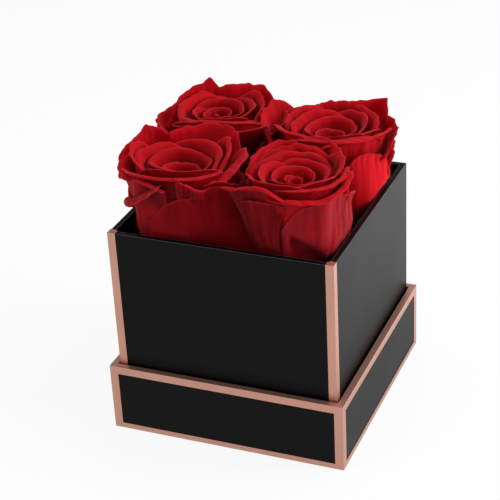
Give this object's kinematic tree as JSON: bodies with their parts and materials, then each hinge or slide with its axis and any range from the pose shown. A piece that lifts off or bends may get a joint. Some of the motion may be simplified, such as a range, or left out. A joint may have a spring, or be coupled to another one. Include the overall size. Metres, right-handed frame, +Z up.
{
  "type": "flower box",
  "caption": "Square rigid paper box with copper-edged corners, standing in its upturned lid and filled with preserved roses on a foam block.",
  "frame": {"origin": "middle of the lid's underside, which the box stands on when the lid is turned over as its tray", "axes": "+Z up, out of the open box; -Y towards the front, where the box's corner strips are; +X to the right"},
  "size_m": [0.1076, 0.1076, 0.1302],
  "materials": {
    "greyboard": "matte",
    "black_paper": "satin",
    "copper_foil": "satin",
    "floral_foam": "matte",
    "rose_green": "matte",
    "rose_petal": "matte"
  },
  "bodies": {
    "lid_tray": {"lid_panel_board": "greyboard", "lid_front_board": "greyboard", "lid_back_board": "greyboard", "lid_left_board": "greyboard", "lid_right_board": "greyboard", "lid_wrap_paper": "black_paper", "lid_lining_paper": "black_paper", "lid_rim_trim": "copper_foil", "lid_edge_trim": "copper_foil", "lid_corner_trim_front_left": "copper_foil", "lid_corner_trim_front_right": "copper_foil", "lid_corner_trim_back_left": "copper_foil", "lid_corner_trim_back_right": "copper_foil"},
    "box": {"box_base_board": "greyboard", "box_front_board": "greyboard", "box_back_board": "greyboard", "box_left_board": "greyboard", "box_right_board": "greyboard", "box_wrap_paper": "black_paper", "box_base_paper": "black_paper", "box_lining_paper": "black_paper", "box_corner_trim_front_left": "copper_foil", "box_corner_trim_front_right": "copper_foil"},
    "flower_insert": {"foam_block": "floral_foam", "front_left_stem": "rose_green", "front_left_calyx": "rose_green", "front_left_guard_petals": "rose_petal", "front_left_middle_petals": "rose_petal", "front_left_inner_petals": "rose_petal", "front_left_heart": "rose_petal", "front_right_stem": "rose_green", "front_right_calyx": "rose_green", "front_right_guard_petals": "rose_petal", "front_right_middle_petals": "rose_petal", "front_right_inner_petals": "rose_petal", "front_right_heart": "rose_petal", "back_left_stem": "rose_green", "back_left_calyx": "rose_green", "back_left_guard_petals": "rose_petal", "back_left_middle_petals": "rose_petal", "back_left_inner_petals": "rose_petal", "back_left_heart": "rose_petal", "back_right_stem": "rose_green", "back_right_calyx": "rose_green", "back_right_guard_petals": "rose_petal", "back_right_middle_petals": "rose_petal", "back_right_inner_petals": "rose_petal", "back_right_heart": "rose_petal"}
  },
  "joints": [
    {"name": "box_lift", "type": "slide", "parent": "lid_tray", "child": "box", "axis": [0, 0, 1], "range_m": [0, 0.05]},
    {"name": "flower_lift", "type": "slide", "parent": "box", "child": "flower_insert", "axis": [0, 0, 1], "range_m": [0, 0.1]}
  ]
}
